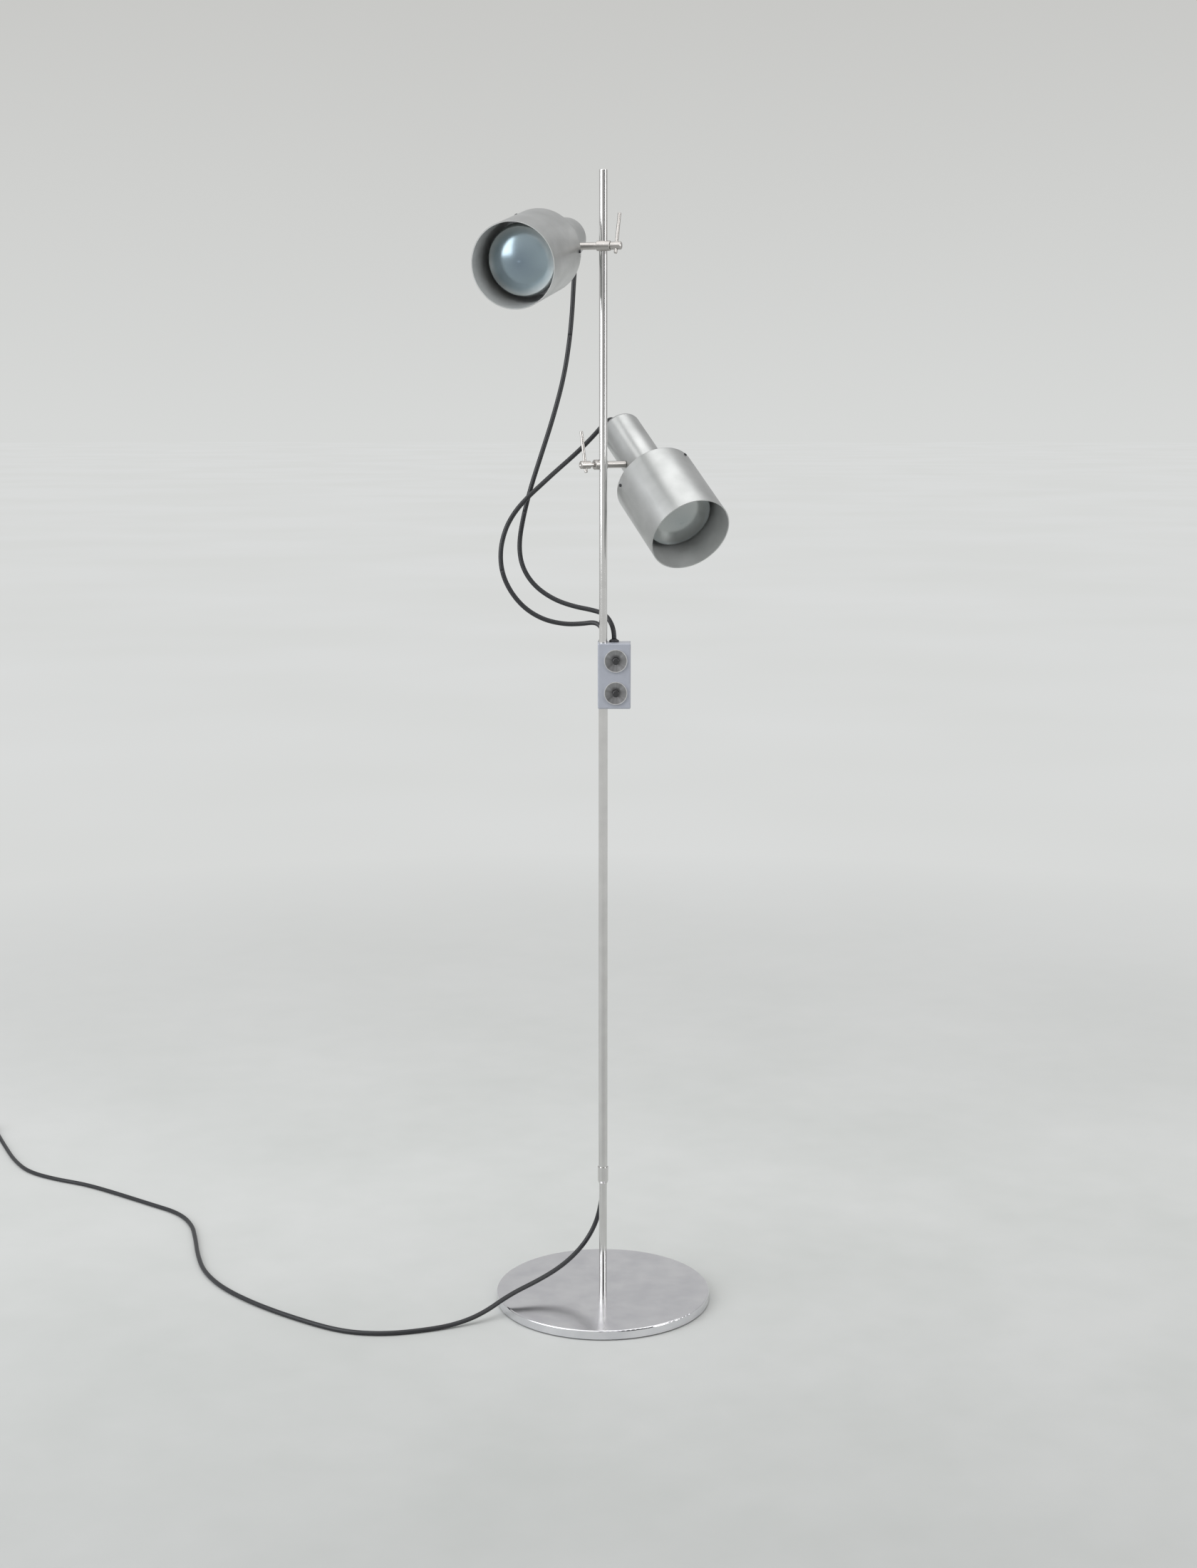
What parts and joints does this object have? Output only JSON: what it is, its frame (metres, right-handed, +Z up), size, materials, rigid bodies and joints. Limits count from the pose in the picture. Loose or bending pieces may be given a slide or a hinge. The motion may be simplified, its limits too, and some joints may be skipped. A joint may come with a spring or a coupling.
{
  "type": "floor lamp",
  "caption": "Free-standing floor lamp: heavy round disc, slim pole, switch box with push buttons, and tilting cylindrical spotlights clamped to the pole.",
  "frame": {"origin": "on the floor under the middle of the round base, in the underside of its pad", "axes": "+Z up along the pole; -Y is the front, where the switch box and its buttons face; +X is to the right seen from the front"},
  "size_m": [1.3877, 0.9246, 1.575],
  "materials": {
    "polished_disc": "polished",
    "pad_felt": "felt",
    "zinc": "bright zinc",
    "pole_chrome": "polished",
    "inner_insulation": "matt",
    "box_enamel": "satin, blue-grey",
    "terminal_plastic": "moulded",
    "dial_anodised": "fine turned, dark",
    "button_black": "glossy",
    "switch_plastic": "moulded",
    "grommet_rubber": "matt",
    "cord_black": "satin",
    "plug_black": "moulded",
    "plug_brass": "bright",
    "clamp_chrome": "polished",
    "sleeve_plastic": "moulded",
    "shade_satin": "spun, satin",
    "holder_black": "moulded",
    "cap_brass": "plain",
    "bulb_glass": "frosted"
  },
  "bodies": {
    "stand": {"base_disc": "polished_disc", "foot_pad": "pad_felt", "base_washer": "zinc", "base_nut": "zinc", "lower_rod": "pole_chrome", "collar": "pole_chrome", "collar_grub_screw": "zinc", "lower_tube": "pole_chrome", "upper_rod": "pole_chrome", "inner_flex": "inner_insulation", "switch_box": "box_enamel", "switch_box_cover": "box_enamel", "cover_screws": "zinc", "rod_screw": "zinc", "terminal_block": "terminal_plastic", "upper_dial": "dial_anodised", "lower_dial": "dial_anodised", "upper_push_switch": "switch_plastic", "lower_push_switch": "switch_plastic", "right_grommet": "grommet_rubber", "left_grommet": "grommet_rubber", "upper_cord": "cord_black", "lower_cord": "cord_black", "mains_cord": "cord_black", "mains_strain_relief": "grommet_rubber", "mains_coil": "cord_black", "plug_body": "plug_black", "plug_pins": "plug_brass"},
    "upper_button": {"upper_button": "button_black"},
    "lower_button": {"lower_button": "button_black"},
    "upper_slider": {"upper_sleeve": "sleeve_plastic"},
    "upper_clamp_body": {"upper_clamp": "clamp_chrome", "upper_arm": "clamp_chrome", "upper_arm_nut": "zinc"},
    "upper_screw": {"upper_clamp_screw": "clamp_chrome", "upper_tommy_bar": "clamp_chrome"},
    "upper_head": {"upper_shade": "shade_satin", "upper_rear_housing": "shade_satin", "upper_shade_carrier": "zinc", "upper_shade_screws": "zinc", "upper_lamp_holder": "holder_black", "upper_bulb_cap": "cap_brass", "upper_nipple": "zinc", "upper_cord_gland": "holder_black", "upper_bulb": "bulb_glass"},
    "lower_slider": {"lower_sleeve": "sleeve_plastic"},
    "lower_clamp_body": {"lower_clamp": "clamp_chrome", "lower_arm": "clamp_chrome", "lower_arm_nut": "zinc"},
    "lower_screw": {"lower_clamp_screw": "clamp_chrome", "lower_tommy_bar": "clamp_chrome"},
    "lower_head": {"lower_shade": "shade_satin", "lower_rear_housing": "shade_satin", "lower_shade_carrier": "zinc", "lower_shade_screws": "zinc", "lower_lamp_holder": "holder_black", "lower_bulb_cap": "cap_brass", "lower_nipple": "zinc", "lower_cord_gland": "holder_black", "lower_bulb": "bulb_glass"}
  },
  "joints": [
    {"name": "upper_button_press", "type": "slide", "parent": "stand", "child": "upper_button", "axis": [0, 1, 0], "range_m": [0, 0.003], "stiffness_N_per_m": 1500, "springref_m": -0.001},
    {"name": "lower_button_press", "type": "slide", "parent": "stand", "child": "lower_button", "axis": [0, 1, 0], "range_m": [0, 0.003], "stiffness_N_per_m": 1500, "springref_m": -0.001},
    {"name": "upper_slide", "type": "slide", "parent": "stand", "child": "upper_slider", "axis": [0, 0, 1], "range_m": [-0.1, 0.085], "deforming": ["upper_cord"]},
    {"name": "upper_swivel", "type": "hinge", "parent": "upper_slider", "child": "upper_clamp_body", "pos_m": [0, 0, 1.476], "axis": [0, 0, 1], "range_deg": [-60, 60], "deforming": ["upper_cord"]},
    {"name": "upper_screw_turn", "type": "hinge", "parent": "upper_clamp_body", "child": "upper_screw", "pos_m": [-0.00139, -0.0048, 1.476], "axis": [-0.9603, 0.279, 0], "range_deg": [-180, 20]},
    {"name": "upper_tilt", "type": "hinge", "parent": "upper_clamp_body", "child": "upper_head", "pos_m": [-0.07198, 0.0157, 1.476], "axis": [-0.9603, 0.279, 0], "range_deg": [-50, 50], "deforming": ["upper_cord"]},
    {"name": "lower_slide", "type": "slide", "parent": "stand", "child": "lower_slider", "axis": [0, 0, 1], "range_m": [-0.06, 0.06], "deforming": ["lower_cord"]},
    {"name": "lower_swivel", "type": "hinge", "parent": "lower_slider", "child": "lower_clamp_body", "pos_m": [0, 0, 1.188], "axis": [0, 0, 1], "range_deg": [-60, 60], "deforming": ["lower_cord"]},
    {"name": "lower_screw_turn", "type": "hinge", "parent": "lower_clamp_body", "child": "lower_screw", "pos_m": [-0.00228, 0.00445, 1.188], "axis": [0.8902, 0.4555, 0], "range_deg": [-180, 20]},
    {"name": "lower_tilt", "type": "hinge", "parent": "lower_clamp_body", "child": "lower_head", "pos_m": [0.05487, 0.0337, 1.188], "axis": [0.8902, 0.4555, 0], "range_deg": [-50, 50], "deforming": ["lower_cord"]}
  ]
}
